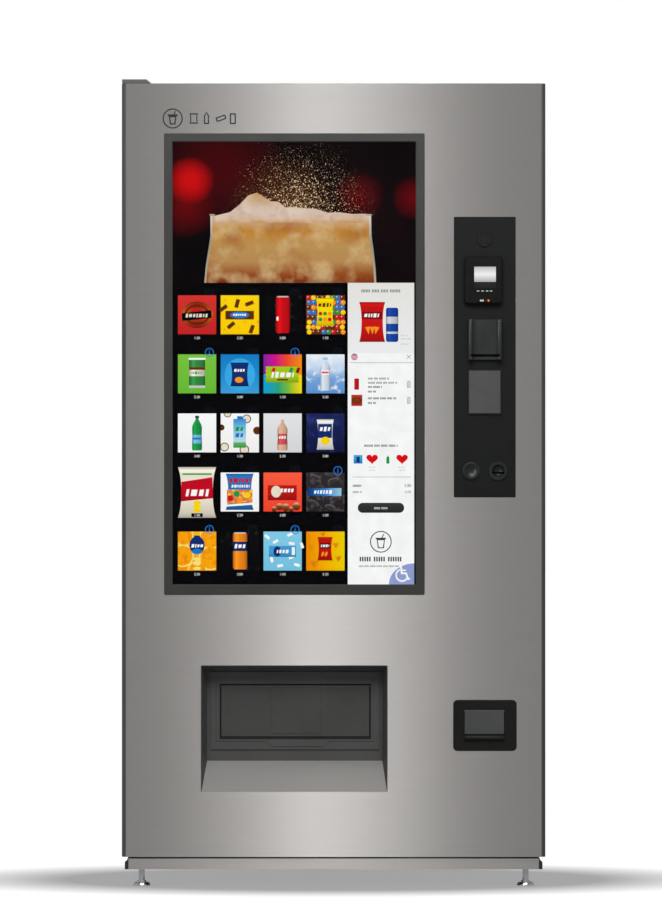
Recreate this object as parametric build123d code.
from build123d import *
from math import cos, pi, radians, sin
import os

os.makedirs("parts", exist_ok=True)

# Snack vending machine. Millimetres, +Z up, front faces -Y, X to the right seen from the front.
# The origin is on the floor at the centre of the bounding box.

# ---------------------------------------------------------------- driving dimensions
HALF_WIDTH = 482.5
BACK_Y = 430.0
SHELL_BACK_Y = 427.0
CABINET_FRONT_Y = -289.0
CABINET_TOP_Z = 1830.0
BASE_BOTTOM_Z = 38.5
BASE_TOP_Z = 62.9
SHEET = 2.0
SHELL_SHEET = 3.0

DOOR_FRONT_Y = -405.0
DOOR_BACK_Y = -297.0
DOOR_BOTTOM_Z = 67.2
DOOR_TOP_Z = 1829.0
DOOR_HALF_WIDTH = 473.5
LINER_THICKNESS = 4.0

HINGE_X = -462.5
HINGE_Y = -317.0
PIN_RADIUS = 6.0
RUNNING_CLEARANCE = 0.06

BAY_HALF_WIDTH = 430.0
BAY_BOTTOM_Z = 285.0
BAY_TOP_Z = 1790.0
LINER_HALF_WIDTH = 447.0
LINER_BACK_Y = 375.0
PARTITION_X = 213.0
COOLING_MOUTH_Z = (85.0, 250.0)
LOCK_SLOT_X = (452.0, 464.0)
LOCK_SLOT_Z = (655.0, 766.0)

TRAY_LEVELS = (548.0, 853.0, 1158.0, 1463.0)
TRAY_LEFT_X = -444.0
TRAY_RIGHT_X = 212.0
TRAY_FRONT_Y = -190.0
TRAY_BACK_Y = 330.0
TRAY_SHEET = 1.5
COLUMN_CENTRES = (-362.0, -198.0, -34.0, 130.0)
COIL_RADIUS = 62.25
WIRE_RADIUS = 2.75
WIRE_SIDES = 10
COIL_PITCH = 66.0
COIL_TURNS = 7
COIL_FRONT_Y = -182.0
COIL_FLOOR_GAP = 0.75

SCREEN_OUTER = (-386.1, 207.3, 663.9, 1715.0)
SCREEN_WINDOW = (-366.7, 186.8, 687.8, 1695.7)
SCREEN_CUTOUT = (-376.0, 197.0, 674.0, 1705.0)
GLASS = (-372.0, 192.1, 682.0, 1701.0)
BEZEL_PROUD = 4.0

PANEL = (273.8, 414.5, 886.0, 1524.9)
PANEL_CUTOUT = (283.0, 405.0, 895.0, 1516.0)
PANEL_PROUD = 3.0
PANEL_FRONT_Y = DOOR_FRONT_Y - PANEL_PROUD
SENSOR_CENTRE = (344.1, 1472.9)
SENSOR_NECK_RADIUS = 14.0
COIN_NECK_RADIUS = 18.0
TERMINAL = (297.2, 383.8, 1326.7, 1434.9)
TERMINAL_NECK = (303.5, 377.5, 1333.5, 1428.5)
TERMINAL_SCREEN = (319.5, 369.2, 1363.0, 1411.2)
LAMP_ROW_Z = (1354.6, 1356.8)
CARD_SLOT = (326.0, 361.0, 1329.5, 1331.5)
BILL_BEZEL = (306.3, 382.6, 1199.6, 1290.7)
BILL_NECK = (308.2, 380.8, 1203.0, 1287.0)
BILL_SLOT = (311.5, 377.5, 1206.0, 1212.0)
BILL_HOUSING = (309.0, 380.0, 1120.0, 1287.0)
BILL_STACKER = (309.0, 380.0, 1120.0, 1400.0)
BLANK_PLATE = (307.5, 380.4, 1077.3, 1175.7)
BUTTON_CENTRE = (313.6, 946.6)
ENTRY_CENTRE = (374.7, 946.3)
BUTTON_RADIUS = 16.0

CUP_BEZEL = (272.2, 416.8, 308.6, 424.8)
CUP_BOX = (293.0, 393.0, 322.0, 412.0)
CUP_BACK_Y = -335.0
CUP_APERTURE = (297.1, 389.3, 346.0, 404.0)
COIN_FLAP = (298.1, 388.3, 347.0, 402.6)
COIN_FLAP_AXIS = (-407.8, 399.5)

RECESS = (-302.5, 123.0, 215.2, 503.4)
RECESS_BACK = (-289.3, 111.1, 285.8, 487.0)
RECESS_BACK_Y = -352.0
SURROUND_BACK_Y = -346.0
FLAP_FRAME = (-281.7, 104.8, 309.3, 486.5)
FLAP_OPENING = (-258.4, 83.0, 337.2, 457.7)
FLAP = (-257.4, 82.0, 338.2, 456.3)
FLAP_POCKETS = ((-244.8, -144.0, 351.9, 445.7), (-28.0, 66.7, 351.9, 445.7))
FLAP_PAD = (-140.8, -31.0, 346.4, 450.3)
FLAP_AXIS = (-352.3, 452.0)
FLAP_PIN_RADIUS = 2.0
BIN = (-290.0, 112.0, 292.0, 520.0)
BIN_BACK_Y = -170.0

LOCK_Y = -345.0
LOCK_Z = 700.0
LOCK_RADIUS = 9.0
STRIKE_RADIUS = 68.0
STRIKE_ANGLE = -15.0
LOCK_POCKET_X = (449.0, 471.0)
LOCK_POCKET_Z = (640.0, 790.0)
SERVICE_OPENING = (283.0, 407.0, 315.0, 1535.0)

INLET_OPENING = (-408.0, -352.0, 128.0, 172.0)

FOOT_X = 438.5
FOOT_FRONT_Y = -365.0
FOOT_BACK_Y = 390.0


# ---------------------------------------------------------------- helpers
def block(x0, x1, y0, y1, z0, z1):
    """A box between two corners."""
    centre = Pos((x0 + x1) / 2, (y0 + y1) / 2, (z0 + z1) / 2)
    return centre * Box(x1 - x0, y1 - y0, z1 - z0)


def slab(rect, y0, y1):
    """A plate in the XZ plane, rect being left, right, bottom and top."""
    return block(rect[0], rect[1], y0, y1, rect[2], rect[3])


def grown(rect, margin):
    """The rectangle with every side moved outwards by margin."""
    return (rect[0] - margin, rect[1] + margin, rect[2] - margin, rect[3] + margin)


def rounded_slab(rect, y0, y1, radius):
    """A plate in the XZ plane with rounded corners."""
    plate = slab(rect, y0, y1)
    return fillet(plate.edges().filter_by(Axis.Y), radius)


def rod_x(radius, x0, x1, y, z):
    """A round bar along X."""
    return Pos((x0 + x1) / 2, y, z) * Rot(0, 90, 0) * Cylinder(radius, x1 - x0)


def rod_y(radius, y0, y1, x, z):
    """A round bar along Y."""
    return Pos(x, (y0 + y1) / 2, z) * Rot(90, 0, 0) * Cylinder(radius, y1 - y0)


def rod_z(radius, z0, z1, x, y):
    """A round bar along Z."""
    return Pos(x, y, (z0 + z1) / 2) * Cylinder(radius, z1 - z0)


def prism_x(points, x0, x1):
    """A profile given as (y, z) points, extruded along X."""
    sketch = Plane.YZ * Polygon(*points, align=None)
    return Pos(x0, 0, 0) * extrude(sketch, x1 - x0, dir=(1, 0, 0))


def prism_y(points, y0, y1):
    """A profile given as (x, z) points, extruded along Y from y0 to y1."""
    sketch = Plane.XZ * Polygon(*points, align=None)
    return Pos(0, y0, 0) * extrude(sketch, y1 - y0, dir=(0, 1, 0))


def save(name, shape):
    """Writes one node of the assembly."""
    export_step(shape, f"parts/{name}.step")


# ---------------------------------------------------------------- cabinet
shell = block(-HALF_WIDTH, HALF_WIDTH, CABINET_FRONT_Y, SHELL_BACK_Y, BASE_TOP_Z, CABINET_TOP_Z)
shell -= block(
    -HALF_WIDTH + SHELL_SHEET,
    HALF_WIDTH - SHELL_SHEET,
    CABINET_FRONT_Y + SHELL_SHEET,
    SHELL_BACK_Y + 1,
    BASE_TOP_Z + SHELL_SHEET,
    CABINET_TOP_Z - SHELL_SHEET,
)
FLANGE_CUT = (CABINET_FRONT_Y - 1, CABINET_FRONT_Y + SHELL_SHEET + 1)
shell -= block(-BAY_HALF_WIDTH, BAY_HALF_WIDTH, *FLANGE_CUT, BAY_BOTTOM_Z, BAY_TOP_Z)
shell -= block(-BAY_HALF_WIDTH, BAY_HALF_WIDTH, *FLANGE_CUT, *COOLING_MOUTH_Z)
shell -= block(*LOCK_SLOT_X, *FLANGE_CUT, *LOCK_SLOT_Z)
save("cabinet_shell", shell)

LINER_FRONT_Y = CABINET_FRONT_Y + SHELL_SHEET
LINER_TOP_Z = 1795.0
RUNNER_HEIGHT = 10.0
RUNNER_WIDTH = 12.0
liner = block(
    -LINER_HALF_WIDTH, LINER_HALF_WIDTH, LINER_FRONT_Y, LINER_BACK_Y, BAY_BOTTOM_Z - SHEET, LINER_TOP_Z
)
liner -= block(
    -LINER_HALF_WIDTH + SHEET,
    LINER_HALF_WIDTH - SHEET,
    LINER_FRONT_Y - 1,
    LINER_BACK_Y - SHEET,
    BAY_BOTTOM_Z,
    LINER_TOP_Z - SHEET,
)
liner += block(
    PARTITION_X, PARTITION_X + 3, -270, LINER_BACK_Y - 1, BAY_BOTTOM_Z - 1, LINER_TOP_Z - 1
)
LEFT_RUNNER_X = -LINER_HALF_WIDTH + 1
for level in TRAY_LEVELS:
    runner_span = (TRAY_FRONT_Y, TRAY_BACK_Y, level - RUNNER_HEIGHT, level)
    liner += block(LEFT_RUNNER_X, LEFT_RUNNER_X + RUNNER_WIDTH, *runner_span)
    liner += block(PARTITION_X - 9, PARTITION_X + 1, *runner_span)
save("inner_liner", liner)

back_panel = block(-HALF_WIDTH, HALF_WIDTH, SHELL_BACK_Y, BACK_Y, BASE_TOP_Z, CABINET_TOP_Z)
LOUVRE_LENGTH = 130.0
LOUVRE_HEIGHT = 5.0
LOUVRE_PITCH = 15.0
LOUVRE_ROWS = 12
LOWEST_LOUVRE_Z = 90.0
for louvre_x in (-60.0, 135.0, 330.0):
    for row in range(LOUVRE_ROWS):
        louvre_z = LOWEST_LOUVRE_Z + LOUVRE_PITCH * row
        back_panel -= block(
            louvre_x - LOUVRE_LENGTH / 2,
            louvre_x + LOUVRE_LENGTH / 2,
            SHELL_BACK_Y - 1,
            BACK_Y + 1,
            louvre_z,
            louvre_z + LOUVRE_HEIGHT,
        )
back_panel -= slab(INLET_OPENING, SHELL_BACK_Y - 1, BACK_Y + 1)
save("back_panel", back_panel)

RAIL_WIDTH = 50.0
RAIL_HALF_GAP = RAIL_WIDTH / 2 - SHELL_SHEET
BASE_HALF_WIDTH = 470.0
BASE_FRONT_Y = -395.0
BASE_BACK_Y = 425.0
BEAM_HALF_WIDTH = 20.0
base = block(-BASE_HALF_WIDTH, BASE_HALF_WIDTH, BASE_FRONT_Y, BASE_BACK_Y, BASE_BOTTOM_Z, BASE_TOP_Z)
base -= block(
    -BASE_HALF_WIDTH + RAIL_WIDTH,
    BASE_HALF_WIDTH - RAIL_WIDTH,
    BASE_FRONT_Y + RAIL_WIDTH,
    BASE_BACK_Y - RAIL_WIDTH,
    0,
    100,
)
CHANNEL_TOP_Z = BASE_TOP_Z - SHELL_SHEET
for side in (-1, 1):
    rail_centre = side * (BASE_HALF_WIDTH - RAIL_WIDTH / 2)
    base -= block(
        rail_centre - RAIL_HALF_GAP,
        rail_centre + RAIL_HALF_GAP,
        BASE_FRONT_Y + SHELL_SHEET,
        BASE_BACK_Y - SHELL_SHEET,
        0,
        CHANNEL_TOP_Z,
    )
for rail_y in (BASE_FRONT_Y + RAIL_WIDTH / 2, BASE_BACK_Y - RAIL_WIDTH / 2):
    base -= block(
        -BASE_HALF_WIDTH + SHELL_SHEET,
        BASE_HALF_WIDTH - SHELL_SHEET,
        rail_y - RAIL_HALF_GAP,
        rail_y + RAIL_HALF_GAP,
        0,
        CHANNEL_TOP_Z,
    )
for beam_y in (-110.0, 140.0):
    base += block(
        -422, 422, beam_y - BEAM_HALF_WIDTH, beam_y + BEAM_HALF_WIDTH, CHANNEL_TOP_Z, BASE_TOP_Z
    )
for foot_y in (FOOT_FRONT_Y, FOOT_BACK_Y):
    for side in (-1, 1):
        base -= rod_z(7.25, 50, 70, side * FOOT_X, foot_y)
save("base_frame", base)

PLINTH_CHAMFER = 8.0
PLINTH_HALF_WIDTH = 476.0
plinth_face = [
    (-PLINTH_HALF_WIDTH, BASE_BOTTOM_Z),
    (PLINTH_HALF_WIDTH, BASE_BOTTOM_Z),
    (PLINTH_HALF_WIDTH, BASE_TOP_Z - PLINTH_CHAMFER),
    (PLINTH_HALF_WIDTH - PLINTH_CHAMFER, BASE_TOP_Z),
    (-PLINTH_HALF_WIDTH + PLINTH_CHAMFER, BASE_TOP_Z),
    (-PLINTH_HALF_WIDTH, BASE_TOP_Z - PLINTH_CHAMFER),
]
save("plinth", prism_y(plinth_face, BASE_FRONT_Y - SHELL_SHEET, BASE_FRONT_Y))

FOOT_PAD_HEIGHT = 6.5
feet = []
for foot_y in (FOOT_FRONT_Y, FOOT_BACK_Y):
    for side in (-1, 1):
        pad = Pos(side * FOOT_X, foot_y, FOOT_PAD_HEIGHT / 2) * Cone(20.5, 17.0, FOOT_PAD_HEIGHT)
        stem = rod_z(7.0, 6, 62.4, side * FOOT_X, foot_y)
        nut = extrude(Pos(side * FOOT_X, foot_y, 48) * RegularPolygon(12, 6), 8)
        collar = rod_z(10.0, 6, 11, side * FOOT_X, foot_y)
        feet.append(pad + stem + nut + collar)
save("levelling_feet", Compound(children=feet))

# ---------------------------------------------------------------- hinges and lock strike
top_bracket = block(-479, -428, -345, -240, CABINET_TOP_Z, CABINET_TOP_Z + 3)
top_bracket += rod_z(PIN_RADIUS, 1800, CABINET_TOP_Z + 1, HINGE_X, HINGE_Y)
bottom_bracket = block(-476, -425, -345, -290, BASE_TOP_Z, BASE_TOP_Z + 3)
bottom_bracket += rod_z(PIN_RADIUS, BASE_TOP_Z + 2, 98, HINGE_X, HINGE_Y)
save("hinge_brackets", Compound(children=[top_bracket, bottom_bracket]))

COVER_TOP_Z = 1838.7
COVER_Y = (-400.0, -230.0)
COVER_OUTSIDE = [
    (-482, CABINET_TOP_Z), (-482, COVER_TOP_Z), (-426.6, COVER_TOP_Z), (-415.6, CABINET_TOP_Z),
]
COVER_INSIDE = [
    (-480, CABINET_TOP_Z - 1),
    (-480, COVER_TOP_Z - SHEET),
    (-427.4, COVER_TOP_Z - SHEET),
    (-417.5, CABINET_TOP_Z - 1),
]
cover = prism_y(COVER_OUTSIDE, *COVER_Y)
cover -= prism_y(COVER_INSIDE, COVER_Y[0] + SHEET, COVER_Y[1] - SHEET)
save("hinge_cover", cover)

strike_y = LOCK_Y + STRIKE_RADIUS * cos(radians(STRIKE_ANGLE))
strike_z = LOCK_Z + STRIKE_RADIUS * sin(radians(STRIKE_ANGLE))
strike = block(466, 470, -286, strike_y + 9, strike_z - 14, strike_z + 14)
strike += block(466, 478, -286, -283, 640, 760)
strike += rod_x(4.0, 452, 467, strike_y, strike_z)
save("lock_strike", strike)

# ---------------------------------------------------------------- trays, motors and spirals
trays = []
motors = []
COIL_LENGTH = COIL_PITCH * COIL_TURNS
COIL_BACK_Y = COIL_FRONT_Y + COIL_LENGTH
MOTOR_FRONT_Y = COIL_BACK_Y + 10
SHAFT_RADIUS = 4.0
SIDE_WALL_HEIGHT = 45.0
BACK_WALL_HEIGHT = 112.0
DIVIDER_HEIGHT = 60.0
MOTOR_HALF_WIDTH = 35.0
MOTOR_HALF_HEIGHT = 40.0
for level in TRAY_LEVELS:
    tray = block(TRAY_LEFT_X, TRAY_RIGHT_X, TRAY_FRONT_Y, TRAY_BACK_Y, level, level + TRAY_SHEET)
    for wall_x in (TRAY_LEFT_X, TRAY_RIGHT_X - TRAY_SHEET):
        tray += block(
            wall_x, wall_x + TRAY_SHEET, TRAY_FRONT_Y, TRAY_BACK_Y, level, level + SIDE_WALL_HEIGHT
        )
    tray += block(
        TRAY_LEFT_X, TRAY_RIGHT_X, TRAY_BACK_Y - 2, TRAY_BACK_Y, level, level + BACK_WALL_HEIGHT
    )
    tray += block(-434, 203, TRAY_FRONT_Y - 3, TRAY_FRONT_Y + 1, level - 28, level + 4)
    for left, right in zip(COLUMN_CENTRES, COLUMN_CENTRES[1:]):
        divider_x = (left + right) / 2
        tray += block(
            divider_x - TRAY_SHEET / 2,
            divider_x + TRAY_SHEET / 2,
            TRAY_FRONT_Y + 8,
            MOTOR_FRONT_Y,
            level,
            level + DIVIDER_HEIGHT,
        )
    trays.append(tray)
    for column_x in COLUMN_CENTRES:
        coil_z = level + TRAY_SHEET + COIL_FLOOR_GAP + COIL_RADIUS + WIRE_RADIUS
        motor = block(
            column_x - MOTOR_HALF_WIDTH,
            column_x + MOTOR_HALF_WIDTH,
            MOTOR_FRONT_Y,
            TRAY_BACK_Y - 2,
            coil_z - MOTOR_HALF_HEIGHT,
            coil_z + MOTOR_HALF_HEIGHT,
        )
        motor += rod_y(SHAFT_RADIUS, COIL_BACK_Y - 2, MOTOR_FRONT_Y + 1, column_x, coil_z)
        motors.append(motor)
save("trays", Compound(children=trays))
save("spiral_motors", Compound(children=motors))

helix = Helix(pitch=COIL_PITCH, height=COIL_LENGTH, radius=COIL_RADIUS)
wire_section = Plane(origin=helix @ 0, z_dir=helix % 0) * RegularPolygon(WIRE_RADIUS, WIRE_SIDES)
spiral = sweep(wire_section, path=helix, is_frenet=True)
spiral += Pos(0, 0, COIL_LENGTH) * Cylinder(14, 14)
spiral += Pos(COIL_RADIUS / 2 + 1, 0, COIL_LENGTH) * Box(COIL_RADIUS + 4, 9, 8)
spiral -= Pos(0, 0, COIL_LENGTH + 3) * Cylinder(SHAFT_RADIUS + RUNNING_CLEARANCE, 12)
spiral = Rot(-90, 0, 0) * spiral
for row, level in enumerate(TRAY_LEVELS):
    coil_z = level + TRAY_SHEET + COIL_FLOOR_GAP + COIL_RADIUS + WIRE_RADIUS
    for column, column_x in enumerate(COLUMN_CENTRES):
        placed = Pos(column_x, COIL_FRONT_Y, coil_z) * spiral
        save(f"spiral_{row + 1}{column + 1}", placed)

# ---------------------------------------------------------------- cooling
FAN_X = -116.0
FAN_Z = 395.0
DUCT_SHEET = 1.5
DUCT_LOW = (-432.0, 180.0, 288.0)
DUCT_HIGH = (204.0, 372.0, 508.0)
CHIMNEY_X = (-300.0, 80.0)
CHIMNEY_FRONT_Y = 345.0
CHIMNEY_TOP_Z = 1780.0
CHIMNEY_INSIDE = (
    CHIMNEY_X[0] + DUCT_SHEET, CHIMNEY_X[1] - DUCT_SHEET, CHIMNEY_FRONT_Y + DUCT_SHEET,
)
duct = block(DUCT_LOW[0], DUCT_HIGH[0], DUCT_LOW[1], DUCT_HIGH[1], DUCT_LOW[2], DUCT_HIGH[2])
duct -= block(
    DUCT_LOW[0] + DUCT_SHEET,
    DUCT_HIGH[0] - DUCT_SHEET,
    DUCT_LOW[1] + DUCT_SHEET,
    DUCT_HIGH[1] + 0.1,
    DUCT_LOW[2] + DUCT_SHEET,
    DUCT_HIGH[2] - DUCT_SHEET,
)
duct -= rod_y(80, 179, 183, FAN_X, FAN_Z)
chimney = block(*CHIMNEY_X, CHIMNEY_FRONT_Y, DUCT_HIGH[1], DUCT_HIGH[2] - 1, CHIMNEY_TOP_Z)
chimney -= block(*CHIMNEY_INSIDE, DUCT_HIGH[1] + 1, DUCT_HIGH[2] - 8, CHIMNEY_TOP_Z - DUCT_SHEET)
for level in TRAY_LEVELS:
    for slot_x in (-220, -110, 0):
        chimney -= block(slot_x - 40, slot_x + 40, 340, 348, level + 150, level + 158)
duct += chimney
duct -= block(*CHIMNEY_INSIDE, DUCT_HIGH[1] - DUCT_SHEET, DUCT_HIGH[2] - 8, DUCT_HIGH[2] + 12)
for spoke in range(3):
    arm = Pos(FAN_X, 213, FAN_Z) * Rot(0, 120 * spoke + 30, 0) * Pos(55, 0, 0) * Box(110, 4, 8)
    duct += arm
duct += rod_y(24, 211, 240, FAN_X, FAN_Z)
duct += rod_y(SHAFT_RADIUS, 194, 212, FAN_X, FAN_Z)
for spoke in range(3):
    angle = radians(120 * spoke + 30)
    duct += rod_y(4, 181, 215, FAN_X + 102 * cos(angle), FAN_Z - 102 * sin(angle))
save("air_duct", duct)


def fan_rotor(hub_radius, tip_radius, depth, blades):
    """An axial rotor along Y with pitched blades and a blind bore for its shaft."""
    rotor = rod_y(hub_radius, -depth / 2, depth / 2, 0, 0)
    length = tip_radius - hub_radius + 4
    middle = (tip_radius + hub_radius - 4) / 2
    for blade in range(blades):
        paddle = Pos(middle, 0, 0) * Rot(32, 0, 0) * Box(length, 2.5, tip_radius * 0.55)
        paddle &= rod_y(tip_radius, -depth / 2, depth / 2, 0, 0)
        rotor += Rot(0, 360 / blades * blade, 0) * paddle
    rotor -= rod_y(SHAFT_RADIUS + RUNNING_CLEARANCE, -depth / 2 + 4, depth, 0, 0)
    return rotor


save("evaporator_fan", Pos(FAN_X, 198, FAN_Z) * fan_rotor(20, 74, 20, 5))

fins = []
FIN_COUNT = 26
FIN_PITCH = 22.4
FIRST_FIN_X = -400.0
for index in range(FIN_COUNT):
    fin_x = FIRST_FIN_X + index * FIN_PITCH
    fins.append(block(fin_x, fin_x + 1, 262, 330, 300, 480))
tubes = []
for tube_y in (279, 313):
    for tube_row in range(5):
        tubes.append(rod_x(5, -412, 172, tube_y, 320 + 35 * tube_row))
core = fins[0]
for piece in fins[1:] + tubes:
    core += piece
for plate_x in (-412, 168):
    core += block(plate_x, plate_x + 4, 258, 334, 289.5, 490)
save("evaporator", core)

deck = block(-440, 440, -268, 418, 68, 71)
for edge_x in (-440, 437):
    deck += block(edge_x, edge_x + 3, -268, 418, 68, 92)
save("cooling_base", deck)

DOME_RADIUS = 72.0
DOME_CENTRE = (-225.0, 60.0)
DOME_Z = (86.0, 178.0)
compressor = rod_z(DOME_RADIUS, *DOME_Z, *DOME_CENTRE)
compressor += Pos(*DOME_CENTRE, DOME_Z[1]) * scale(Sphere(DOME_RADIUS), (1, 1, 0.5))
compressor += Pos(*DOME_CENTRE, DOME_Z[0]) * scale(Sphere(DOME_RADIUS), (1, 1, 0.15))
compressor += block(-320, -130, 20, 100, 71, 78)
compressor += block(-165, -130, 36, 84, 110, 160)
compressor += rod_z(5, 150, 250, -262, 60)
save("compressor", compressor)

CONDENSER_FAN_X = 135.0
CONDENSER_FAN_Z = 176.0
CONDENSER_X = (-60.0, 330.0)
CONDENSER_Y = (345.0, 395.0)
CONDENSER_Z = (72.0, 274.0)
CONDENSER_FINS = 24
CONDENSER_FIN_PITCH = 16.9
condenser = block(*CONDENSER_X, CONDENSER_Y[0], CONDENSER_Y[0] + 4, *CONDENSER_Z)
condenser += block(*CONDENSER_X, CONDENSER_Y[1] - 4, CONDENSER_Y[1], CONDENSER_Z[0], CONDENSER_Z[0] + 10)
for index in range(CONDENSER_FINS):
    fin_x = CONDENSER_X[0] + index * CONDENSER_FIN_PITCH
    condenser += block(fin_x, fin_x + 1.2, *CONDENSER_Y, *CONDENSER_Z)
for tube_row in range(6):
    condenser += rod_x(5, -70, 340, 375, 92 + 33 * tube_row)
condenser -= rod_y(86, 340, 348.5, CONDENSER_FAN_X, CONDENSER_FAN_Z)
condenser -= block(CONDENSER_FAN_X - 60, CONDENSER_FAN_X + 60, 344, 350, 100, 250)
shroud = rod_y(94, 318, 346, CONDENSER_FAN_X, CONDENSER_FAN_Z)
shroud -= rod_y(88, 300, 350, CONDENSER_FAN_X, CONDENSER_FAN_Z)
condenser += shroud
condenser += block(CONDENSER_FAN_X - 90, CONDENSER_FAN_X + 90, 306, 319, 170, 182)
condenser += rod_y(24, 286, 312, CONDENSER_FAN_X, CONDENSER_FAN_Z)
condenser += rod_y(SHAFT_RADIUS, 311, 334, CONDENSER_FAN_X, CONDENSER_FAN_Z)
save("condenser", condenser)
rotor = Rot(0, 0, 180) * fan_rotor(22, 82, 16, 5)
save("condenser_fan", Pos(CONDENSER_FAN_X, 332, CONDENSER_FAN_Z) * rotor)

BOX_FRONT_Y = 250.0
PORT_COUNT = 6
PORT_PITCH = 62.0
LOWEST_PORT_Z = 1230.0
box = block(262, 430, BOX_FRONT_Y, 372, 1180, 1620)
box = chamfer(box.edges().filter_by(Axis.Z), 4)
for port in range(PORT_COUNT):
    port_z = LOWEST_PORT_Z + PORT_PITCH * port
    box += block(282, 322, BOX_FRONT_Y - 12, BOX_FRONT_Y + 1, port_z, port_z + 30)
save("control_box", box)

inlet = slab(INLET_OPENING, SHELL_BACK_Y, BACK_Y)
inlet += slab(grown(INLET_OPENING, -1), 385, SHELL_BACK_Y + 1)
inlet -= slab((-396, -364, 139, 161), 400, BACK_Y + 1)
for pin_x in (-389, -380, -371):
    inlet += block(pin_x - 1, pin_x + 1, 399, 424, 147, 153)
save("power_inlet", inlet)

# ---------------------------------------------------------------- door
skin = block(
    -DOOR_HALF_WIDTH, DOOR_HALF_WIDTH, DOOR_FRONT_Y, DOOR_BACK_Y - LINER_THICKNESS,
    DOOR_BOTTOM_Z, DOOR_TOP_Z,
)
skin -= block(
    -DOOR_HALF_WIDTH + SHEET, DOOR_HALF_WIDTH - SHEET, DOOR_FRONT_Y + SHEET, -290,
    DOOR_BOTTOM_Z + SHEET, DOOR_TOP_Z - SHEET,
)
FRONT_CUT = (DOOR_FRONT_Y - 1, DOOR_FRONT_Y + SHEET + 1)
for cutout in (SCREEN_CUTOUT, PANEL_CUTOUT, RECESS, grown(CUP_BOX, 3)):
    skin -= slab(cutout, *FRONT_CUT)
APRON = [
    (DOOR_FRONT_Y, RECESS[2]),
    (RECESS_BACK_Y + 2, RECESS_BACK[2]),
    (RECESS_BACK_Y + 2, RECESS_BACK[2] - 3.2),
    (DOOR_FRONT_Y + 2, RECESS[2] - 1.6),
    (DOOR_FRONT_Y + 2, RECESS[2] - 4),
    (DOOR_FRONT_Y, RECESS[2] - 4),
]
skin += prism_x(APRON, RECESS[0], RECESS[1])
for flange_z in (DOOR_BOTTOM_Z, DOOR_TOP_Z):
    skin -= rod_z(8, flange_z - 4, flange_z + 4, HINGE_X, HINGE_Y)
LOCK_HOLE = LOCK_RADIUS + RUNNING_CLEARANCE
skin -= rod_x(LOCK_HOLE, 465, 490, LOCK_Y, LOCK_Z)
save("door_skin", skin)

TRIM_CHAMFER = 6.0
trims = []
for side in (-1, 1):
    outline = [
        (side * DOOR_HALF_WIDTH, DOOR_FRONT_Y),
        (side * (HALF_WIDTH - TRIM_CHAMFER), DOOR_FRONT_Y),
        (side * HALF_WIDTH, DOOR_FRONT_Y + TRIM_CHAMFER),
        (side * HALF_WIDTH, DOOR_BACK_Y - TRIM_CHAMFER),
        (side * (HALF_WIDTH - TRIM_CHAMFER), DOOR_BACK_Y),
        (side * DOOR_HALF_WIDTH, DOOR_BACK_Y),
    ]
    face = make_face(Polyline(*outline, close=True))
    trim = Pos(0, 0, DOOR_BOTTOM_Z) * extrude(face, DOOR_TOP_Z - DOOR_BOTTOM_Z, dir=(0, 0, 1))
    trim -= rod_x(LOCK_HOLE, 465, 490, LOCK_Y, LOCK_Z)
    trims.append(trim)
save("door_edge_trims", Compound(children=trims))

FRAME_FRONT_Y = -340.0
FRAME_BACK_Y = DOOR_BACK_Y - LINER_THICKNESS
FRAME_OUTER = (-470.5, 470.5, 70.2, 1826.0)
RAIL = 30.0
WALL = 3.0


def channel(rect):
    """A door rail pressed as a channel open towards the front."""
    return slab(grown(rect, -WALL), FRAME_FRONT_Y - 1, FRAME_BACK_Y - WALL)


RAILS = (
    (FRAME_OUTER[0], FRAME_OUTER[0] + RAIL, FRAME_OUTER[2], FRAME_OUTER[3]),
    (FRAME_OUTER[1] - RAIL, FRAME_OUTER[1], FRAME_OUTER[2], FRAME_OUTER[3]),
    (FRAME_OUTER[0], FRAME_OUTER[1], FRAME_OUTER[2], FRAME_OUTER[2] + RAIL),
    (FRAME_OUTER[0], FRAME_OUTER[1], FRAME_OUTER[3] - RAIL, FRAME_OUTER[3]),
    (222.0, 252.0, FRAME_OUTER[2], FRAME_OUTER[3]),
    (FRAME_OUTER[0], 252.0, 600.0, 630.0),
)
frame = slab(RAILS[0], FRAME_FRONT_Y, FRAME_BACK_Y)
for rail in RAILS[1:]:
    frame += slab(rail, FRAME_FRONT_Y, FRAME_BACK_Y)
for rail in RAILS:
    frame -= channel(rail)
for corner_z in (FRAME_OUTER[2], FRAME_OUTER[3] - RAIL):
    frame += slab((FRAME_OUTER[0], FRAME_OUTER[0] + RAIL, corner_z, corner_z + RAIL),
                  FRAME_FRONT_Y, FRAME_BACK_Y)
    frame -= rod_z(PIN_RADIUS + RUNNING_CLEARANCE, corner_z - 1, corner_z + RAIL + 1,
                   HINGE_X, HINGE_Y)
frame -= block(*LOCK_POCKET_X, -350, -290, *LOCK_POCKET_Z)
save("door_frame", frame)

door_liner = slab((-DOOR_HALF_WIDTH, DOOR_HALF_WIDTH, DOOR_BOTTOM_Z, DOOR_TOP_Z),
                  FRAME_BACK_Y, DOOR_BACK_Y)
LINER_CUT = (FRAME_BACK_Y - 1, DOOR_BACK_Y + 1)
door_liner -= slab(grown(BIN, 1), *LINER_CUT)
door_liner -= slab(SERVICE_OPENING, *LINER_CUT)
door_liner -= slab((LOCK_POCKET_X[0], LOCK_POCKET_X[1] - 4, *LOCK_POCKET_Z), *LINER_CUT)
save("door_liner", door_liner)

GASKET_OUTER = (-445.0, 445.0, 262.0, 1812.0)
GASKET_WIDTH = 12.0
gasket = slab(GASKET_OUTER, DOOR_BACK_Y, CABINET_FRONT_Y - 0.3)
gasket -= slab(grown(GASKET_OUTER, -GASKET_WIDTH), DOOR_BACK_Y - 1, CABINET_FRONT_Y + 1)
save("door_gasket", gasket)

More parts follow.
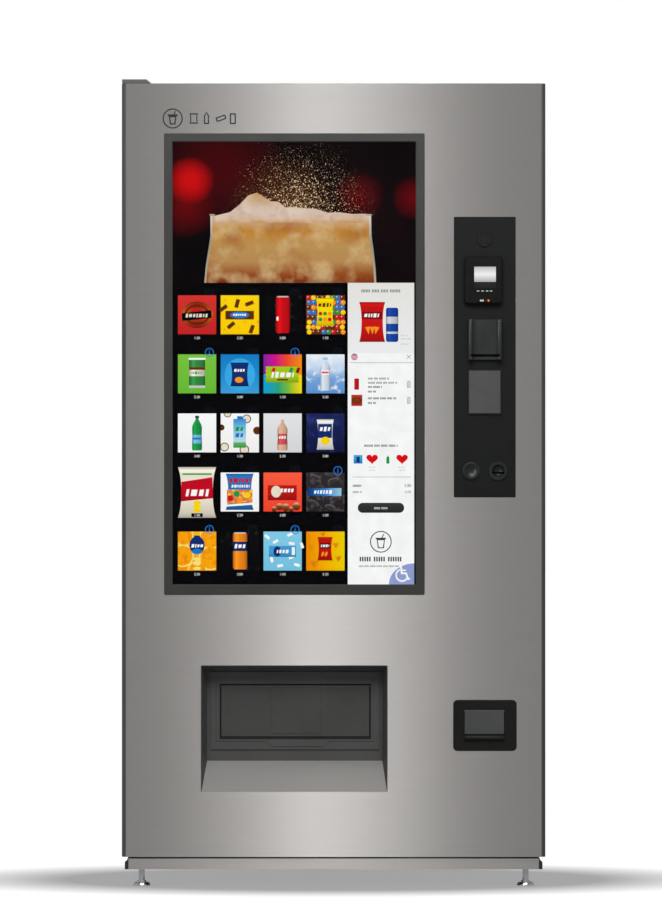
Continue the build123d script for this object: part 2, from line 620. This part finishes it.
# ---------------------------------------------------------------- screen
BEZEL_FRONT_Y = DOOR_FRONT_Y - BEZEL_PROUD
bezel = rounded_slab(SCREEN_OUTER, BEZEL_FRONT_Y, DOOR_FRONT_Y, 3)
bezel = chamfer(bezel.faces().sort_by(Axis.Y)[0].edges(), 1.5)
bezel += slab(grown(SCREEN_CUTOUT, -0.3), DOOR_FRONT_Y - 1, -385)
bezel -= slab(SCREEN_WINDOW, -420, -380)
bezel -= slab(grown(GLASS, 0.3), -406.4, -380)
window_edges = bezel.faces().sort_by(Axis.Y)[0].inner_wires()[0].edges()
bezel = chamfer(window_edges, 1.8)
save("screen_bezel", bezel)
save("touch_glass", slab(GLASS, -406.3, -402.3))

DISPLAY = grown(GLASS, -1)
DISPLAY_BACK_Y = -346.0
GROOVE_PITCH = 90
display = slab(DISPLAY, -398.5, DISPLAY_BACK_Y)
display = chamfer(display.faces().sort_by(Axis.Y)[-1].edges(), 6)
for groove_z in range(760, 1660, GROOVE_PITCH):
    display -= block(-330, 150, DISPLAY_BACK_Y - 3, DISPLAY_BACK_Y + 1, groove_z, groove_z + 6)
save("display_module", display)

# ---------------------------------------------------------------- payment panel and its devices
panel = rounded_slab(PANEL, PANEL_FRONT_Y, DOOR_FRONT_Y, 2)
panel = chamfer(panel.faces().sort_by(Axis.Y)[0].edges(), 1)
collar = slab(grown(PANEL_CUTOUT, -0.3), DOOR_FRONT_Y - 1, -382)
collar -= slab(grown(PANEL_CUTOUT, -2.3), DOOR_FRONT_Y, -380)
panel += collar
for hole in (TERMINAL_NECK, BILL_NECK):
    panel -= slab(grown(hole, 0.3), -420, -400)
for centre in (BUTTON_CENTRE, ENTRY_CENTRE):
    panel -= rod_y(COIN_NECK_RADIUS + 0.2, -420, -400, *centre)
panel -= rod_y(SENSOR_NECK_RADIUS + 0.2, -420, -400, *SENSOR_CENTRE)
save("payment_panel", panel)

TERMINAL_FRONT_Y = -424.0
terminal = rounded_slab(TERMINAL, TERMINAL_FRONT_Y, PANEL_FRONT_Y, 8)
terminal = chamfer(terminal.faces().sort_by(Axis.Y)[0].edges(), 2.5)
terminal += slab(TERMINAL_NECK, PANEL_FRONT_Y - 1, -365)
terminal -= slab(TERMINAL_SCREEN, TERMINAL_FRONT_Y - 1, TERMINAL_FRONT_Y + 1)
for lamp_x in (328.4, 338.7, 348.9, 358.0):
    lamp = (lamp_x - 3, lamp_x + 3, *LAMP_ROW_Z)
    terminal -= slab(lamp, TERMINAL_FRONT_Y - 1, TERMINAL_FRONT_Y + 0.6)
terminal -= slab(CARD_SLOT, TERMINAL_FRONT_Y - 1, TERMINAL_FRONT_Y + 6)
save("card_terminal", terminal)

sensor = rod_y(17, PANEL_FRONT_Y - 3, PANEL_FRONT_Y, *SENSOR_CENTRE)
sensor = chamfer(sensor.faces().sort_by(Axis.Y)[0].edges(), 1.2)
sensor += rod_y(SENSOR_NECK_RADIUS, PANEL_FRONT_Y - 1, -392, *SENSOR_CENTRE)
sensor -= rod_y(11, PANEL_FRONT_Y - 4, PANEL_FRONT_Y - 1.5, *SENSOR_CENTRE)
save("sensor_window", sensor)

BILL_FRONT_Y = -430.0
BAR_WIDTH = 10.5
bill = slab(BILL_BEZEL, -416, PANEL_FRONT_Y)
for bar_x in (BILL_BEZEL[0], BILL_BEZEL[1] - BAR_WIDTH):
    bar = block(bar_x, bar_x + BAR_WIDTH, BILL_FRONT_Y, -415, BILL_BEZEL[2], BILL_BEZEL[3])
    bar = fillet(bar.faces().sort_by(Axis.Y)[0].edges().filter_by(Axis.Z), 4.5)
    bill += bar
bill += slab(BILL_NECK, PANEL_FRONT_Y - 1, -404)
bill += slab(BILL_HOUSING, -404, -300)
bill += slab(BILL_STACKER, -301, -215)
bill -= slab(BILL_SLOT, BILL_FRONT_Y - 1, -330)
save("bill_acceptor", bill)

blank = rounded_slab(BLANK_PLATE, PANEL_FRONT_Y - 3, PANEL_FRONT_Y, 2)
blank = chamfer(blank.faces().sort_by(Axis.Y)[0].edges(), 1)
save("blank_plate", blank)

entry = rod_y(22, PANEL_FRONT_Y - 3, PANEL_FRONT_Y, *ENTRY_CENTRE)
entry = chamfer(entry.faces().sort_by(Axis.Y)[0].edges(), 1.5)
entry += rod_y(COIN_NECK_RADIUS, PANEL_FRONT_Y - 1, -386, *ENTRY_CENTRE)
entry -= Pos(ENTRY_CENTRE[0], -417, ENTRY_CENTRE[1]) * Sphere(15.8)
entry -= slab((ENTRY_CENTRE[0] - 14, ENTRY_CENTRE[0] + 14, ENTRY_CENTRE[1] - 6.5,
               ENTRY_CENTRE[1] - 2), -420, -380)
ring = rod_y(20, PANEL_FRONT_Y - 4, PANEL_FRONT_Y, *BUTTON_CENTRE)
ring = fillet(ring.faces().sort_by(Axis.Y)[0].edges(), 1.5)
ring += rod_y(COIN_NECK_RADIUS, PANEL_FRONT_Y - 1, -390, *BUTTON_CENTRE)
ring -= rod_y(BUTTON_RADIUS + 0.2, -420, -380, *BUTTON_CENTRE)
save("coin_entry", Compound(children=[entry, ring]))

button = rod_y(BUTTON_RADIUS, PANEL_FRONT_Y - 3, -388, *BUTTON_CENTRE)
button += rod_y(19, -388, -385.5, *BUTTON_CENTRE)
button += rod_y(5, -386, -374, *BUTTON_CENTRE)
button -= Pos(BUTTON_CENTRE[0], -432, BUTTON_CENTRE[1]) * Sphere(25.5)
save("coin_button", button)

CHANGER = (290.0, 402.0, 560.0, 905.0)
changer = slab(CHANGER, -290, -215)
changer = chamfer(changer.edges().filter_by(Axis.Z), 3)
FUNNEL = [(-380, 925), (-380, 960), (-377, 960), (-377, 930), (-285, 905), (-285, 900), (-290, 898)]
changer += prism_x(FUNNEL, 355, 395)
for cheek_x in (355, 393):
    changer += prism_x([(-380, 925), (-380, 960), (-286, 935), (-286, 900)], cheek_x, cheek_x + 2)
changer -= block(357, 393, -377, -260, 906, 970)
changer -= block(362, 388, -270, -240, 860, 910)
CHUTE = [(-290, 562), (-262, 562), (-262, 500), (-331, 376), (-334, 376), (-334, 412), (-290, 500)]
CHUTE_HOLLOW = [
    (-288, 570), (-264, 570), (-264, 501), (-334, 378.5), (-335, 378.5), (-335, 408), (-288, 499),
]
chute = prism_x(CHUTE, 302, 384)
chute -= prism_x(CHUTE_HOLLOW, 304, 382)
changer += chute
changer -= block(310, 376, -284, -268, 555, 640)
save("coin_changer", changer)

# ---------------------------------------------------------------- coin cup
cup_plate = rounded_slab(CUP_BEZEL, DOOR_FRONT_Y - 5, DOOR_FRONT_Y, 10)
cup_plate = chamfer(cup_plate.faces().sort_by(Axis.Y)[0].edges(), 2)
cup = cup_plate + slab(CUP_BOX, DOOR_FRONT_Y - 1, CUP_BACK_Y)
cup -= slab(grown(CUP_BOX, -2), DOOR_FRONT_Y, CUP_BACK_Y - 2)
cup -= slab(CUP_APERTURE, -420, DOOR_FRONT_Y + 1)
lip = rod_x(6.5, 298, 388.5, DOOR_FRONT_Y - 5, 338.4)
cup += lip
cup -= block(302, 384, CUP_BACK_Y - 3, CUP_BACK_Y + 1, 378, 408)
cup -= rod_x(1.6, 294.5, 391.9, *COIN_FLAP_AXIS)
save("coin_cup", cup)

coin_flap = slab(COIN_FLAP, -409, -405)
coin_flap = chamfer(coin_flap.faces().sort_by(Axis.Y)[0].edges(), 0.6)
coin_flap += rod_x(1.5, 295.2, 391.2, *COIN_FLAP_AXIS)
save("coin_flap", coin_flap)

# ---------------------------------------------------------------- delivery recess, flap and bin
SURROUND_SIDE = [
    (DOOR_FRONT_Y, RECESS[2]),
    (RECESS_BACK_Y + 2, RECESS_BACK[2]),
    (SURROUND_BACK_Y, RECESS_BACK[2]),
    (SURROUND_BACK_Y, RECESS[3] - 0.2),
    (DOOR_FRONT_Y, RECESS[3] - 0.2),
]
surround = prism_x(SURROUND_SIDE, RECESS[0] + 0.2, RECESS[1] - 0.2)


def plane_rectangle(rect, y):
    """A rectangle facing along Y, as a loft section."""
    centre = ((rect[0] + rect[1]) / 2, y, (rect[2] + rect[3]) / 2)
    section = Plane(origin=centre, x_dir=(1, 0, 0), z_dir=(0, -1, 0))
    return section * Rectangle(rect[1] - rect[0], rect[3] - rect[2])


MOUTH = (RECESS[0] + 1.2, RECESS[1] - 1.2, 150.0, RECESS[3] - 1.2)
THROAT = (RECESS_BACK[0], RECESS_BACK[1], 200.0, RECESS_BACK[3])
surround -= loft([plane_rectangle(MOUTH, DOOR_FRONT_Y - 0.01), plane_rectangle(THROAT, RECESS_BACK_Y)])
surround += slab(FLAP_FRAME, RECESS_BACK_Y - 3, RECESS_BACK_Y + 1)
GROOVE = [
    (-269.0, 326.8), (-156.0, 326.8), (-144.0, 314.5), (-23.0, 314.5), (-11.0, 326.8),
    (91.1, 326.8), (91.1, 474.0), (-22.0, 474.0), (-32.0, 480.5), (-150.0, 480.5),
    (-160.0, 474.0), (-269.0, 474.0),
]
groove_face = Plane.XZ * Polygon(*GROOVE, align=None)
groove_ring = groove_face - offset(groove_face, -1.6, kind=Kind.INTERSECTION)
surround -= Pos(0, RECESS_BACK_Y - 1.8, 0) * extrude(groove_ring, 3, dir=(0, -1, 0))
surround -= slab(FLAP_OPENING, -370, -340)
surround -= rod_x(FLAP_PIN_RADIUS + 0.1, -263.2, 87.8, *FLAP_AXIS)
save("delivery_surround", surround)

flap = slab(FLAP, RECESS_BACK_Y - 2, RECESS_BACK_Y + 3)
flap = chamfer(flap.faces().sort_by(Axis.Y)[0].edges(), 1)
for pocket in FLAP_POCKETS:
    flap -= slab(pocket, RECESS_BACK_Y - 3, RECESS_BACK_Y - 1.2)
flap += slab(FLAP_PAD, RECESS_BACK_Y - 3, RECESS_BACK_Y)
flap += rod_x(FLAP_PIN_RADIUS, -262.6, 87.2, *FLAP_AXIS)
save("delivery_flap", flap)

bin_box = slab(BIN, SURROUND_BACK_Y, BIN_BACK_Y)
bin_box -= slab(grown(BIN, -SHEET), SURROUND_BACK_Y - 1, BIN_BACK_Y - SHEET)
bin_box -= block(
    BIN[0] + SHEET, BIN[1] - SHEET, DOOR_BACK_Y, BIN_BACK_Y - SHEET, BIN[3] - 20, BIN[3] + 10
)
save("delivery_bin", bin_box)

# ---------------------------------------------------------------- door lock
HOOK_INNER = 74.0
HOOK_OUTER = 82.0
HOOK_SWEEP = 30.0
HOOK_X = (455.0, 461.0)
ARC_STEPS = 10


def polar(radius, degrees):
    """A point about the lock axis, measured from straight up towards the front as positive."""
    return (LOCK_Y - radius * sin(radians(degrees)), LOCK_Z + radius * cos(radians(degrees)))


hook_arc = [polar(HOOK_OUTER, -HOOK_SWEEP * step / ARC_STEPS) for step in range(ARC_STEPS + 1)]
hook_arc += [polar(HOOK_INNER, -HOOK_SWEEP * step / ARC_STEPS) for step in range(ARC_STEPS, -1, -1)]
hook = prism_x(hook_arc, *HOOK_X)
hook += block(*HOOK_X, LOCK_Y - 6, LOCK_Y + 6, LOCK_Z, LOCK_Z + 81)
hook += rod_x(14, 455, 463, LOCK_Y, LOCK_Z)
hook += rod_x(LOCK_RADIUS, 454, 482.2, LOCK_Y, LOCK_Z)
hook -= block(478, 483, LOCK_Y - 1, LOCK_Y + 1, LOCK_Z - 5, LOCK_Z + 5)
save("door_lock", hook)
